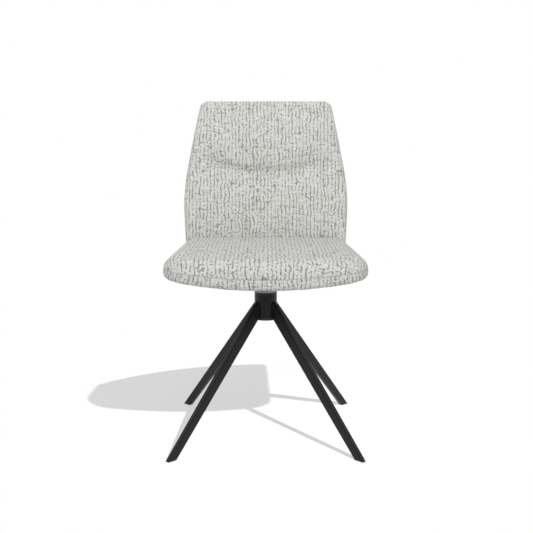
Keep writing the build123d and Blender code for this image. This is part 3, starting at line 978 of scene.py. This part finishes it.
# ------------------------------------------------------------------------------ stage

CAMERA_PLACE = (0.002, -2.1949, 0.7546)
CAMERA_TURN = math.radians(81.987)
CAMERA_LENS = 56.83
KEY_PLACE = (2.08, -4.20, 4.16)
KEY_SIZE = 0.05
FLOOR_RADIUS = 4.0
FLOOR_SHOWN = 0.15  # how much of the light the shown floor gives back
FLOOR_BOUNCE = 0.14  # the same, towards the chair
FADE_BEFORE = 7.0  # the shadow's end fades over these two, in millimetres
FADE_PAST = 8.0
STUDIO_DARK = 0.09  # what gloss reflects from the camera's side, against 1 from behind
SIDE_DIMMING = 0.75  # how much weaker the soft light is from both sides
RIGHT_DIMMING = 0.08  # and from the right alone
MEAN_AMBIENT = 0.81  # how much of the soft and of the front light reaches the floor
MEAN_FRONT = 0.21


def white_world(stage):
    """White to the camera; to all else a soft studio, darker towards the camera."""
    world = bpy.data.worlds.new("studio")
    bpy.context.scene.world = world
    recipe = Recipe(world)
    seen, clear, glossy = ray_kinds(recipe)
    x, y, z = recipe.split(recipe.node("ShaderNodeTexCoord", {}, out="Generated"))
    behind = (y + z * 0.35).rise(-0.75, -0.05)
    studio = recipe.grey(STUDIO_DARK + behind * (1 - STUDIO_DARK))
    front = (y * -1.0).either(0.0) * stage.front
    ambient = 1.0 - x * x * SIDE_DIMMING - x * RIGHT_DIMMING
    soft = recipe.grey(ambient * stage.ambient + front)
    sky = recipe.mix(glossy, soft, studio)
    sky = recipe.mix(seen.either(clear), sky, WHITE)
    background = recipe.node("ShaderNodeBackground", {}, sky, 1.0)
    recipe.node("ShaderNodeOutputWorld", {}, Surface=background)


def white_floor(stage):
    """A pale floor that reads white in the light and keeps the chair's shadow."""
    recipe = new_recipe("floor")
    seen, clear, glossy = ray_kinds(recipe)
    shown = seen.either(glossy).either(clear)
    x, y, _ = recipe.split(object_place(recipe))
    end = stage.shadow_end
    fade = [(end + past * MM) ** 2 for past in (-FADE_BEFORE, FADE_PAST)]
    faded = (x * x + y * y).rise(*fade)
    reached = stage.ambient * MEAN_AMBIENT + stage.front * MEAN_FRONT
    glow = stage.shadow - FLOOR_SHOWN * reached
    pale, held = (
        recipe.node("ShaderNodeBsdfDiffuse", {}, (tone, tone, tone, 1.0))
        for tone in (FLOOR_BOUNCE, FLOOR_SHOWN)
    )
    light = recipe.node("ShaderNodeEmission", {}, (*WHITE, 1.0), glow)
    lit = recipe.node("ShaderNodeAddShader", {}, held, light)
    white = recipe.node("ShaderNodeEmission", {}, (*WHITE, 1.0), 1.0)
    catcher = recipe.node("ShaderNodeMixShader", {}, faded, lit, white)
    both = recipe.node("ShaderNodeMixShader", {}, shown, pale, catcher)
    recipe.node("ShaderNodeOutputMaterial", {}, Surface=both)
    return recipe.owner


class CHAIR_OT_stage(bpy.types.Operator):
    """White floor with the chair's shadow, soft light all round and the camera"""

    bl_idname = "chair.stage"
    bl_label = "Stage"

    def execute(self, context):
        stage = context.scene.chair_stage
        white_world(stage)
        shape = bmesh.new()
        bmesh.ops.create_circle(shape, cap_ends=True, segments=96, radius=FLOOR_RADIUS)
        mesh = bpy.data.meshes.new("floor")
        shape.to_mesh(mesh)
        shape.free()
        floor = bpy.data.objects.new("floor", mesh)
        mesh.materials.append(white_floor(stage))
        context.scene.collection.objects.link(floor)

        # The key only lights the floor, so that the chair is lit evenly all round.
        lamp = bpy.data.lights.new("key", "POINT")
        lamp.energy = stage.key_power
        lamp.shadow_soft_size = KEY_SIZE
        key = bpy.data.objects.new("key", lamp)
        key.location = KEY_PLACE
        context.scene.collection.objects.link(key)
        receivers = bpy.data.collections.new("key_receivers")
        receivers.objects.link(floor)
        key.light_linking.receiver_collection = receivers

        lens = bpy.data.cameras.new("camera")
        lens.lens = CAMERA_LENS
        camera = bpy.data.objects.new("camera", lens)
        camera.location = CAMERA_PLACE
        camera.rotation_euler = (CAMERA_TURN, 0.0, 0.0)
        context.scene.collection.objects.link(camera)
        context.scene.camera = camera
        context.scene.view_settings.view_transform = "Standard"
        return {"FINISHED"}


# -------------------------------------------------------------------- panel and add-on

STEPS = (
    CHAIR_OT_seat_cushion,
    CHAIR_OT_back_cushion,
    CHAIR_OT_steel,
    CHAIR_OT_plastics,
    CHAIR_OT_boards,
    CHAIR_OT_stage,
)
GROUPS = {
    "chair_upholstery": ChairUpholstery,
    "chair_fabric": ChairFabric,
    "chair_metal": ChairMetal,
    "chair_stage": ChairStage,
}


class VIEW3D_PT_chair(bpy.types.Panel):
    bl_label = "Swivel dining chair"
    bl_space_type = "VIEW_3D"
    bl_region_type = "UI"
    bl_category = "Chair"

    def draw(self, context):
        for group, kind in GROUPS.items():
            box = self.layout.box()
            box.label(text=kind.__doc__)
            for name in kind.__annotations__:
                box.prop(getattr(context.scene, group), name)
        for step in STEPS:
            self.layout.operator(step.bl_idname)


def register():
    for kind in (*GROUPS.values(), *STEPS, VIEW3D_PT_chair):
        bpy.utils.register_class(kind)
    for group, kind in GROUPS.items():
        setattr(bpy.types.Scene, group, PointerProperty(type=kind))


def unregister():
    for group in GROUPS:
        delattr(bpy.types.Scene, group)
    for kind in reversed((*GROUPS.values(), *STEPS, VIEW3D_PT_chair)):
        bpy.utils.unregister_class(kind)


def main():
    register()
    for step in STEPS:
        family, action = step.bl_idname.split(".")
        if getattr(getattr(bpy.ops, family), action)() != {"FINISHED"}:
            raise RuntimeError(f"{step.bl_label} was not made")


if __name__ == "__main__":
    main()
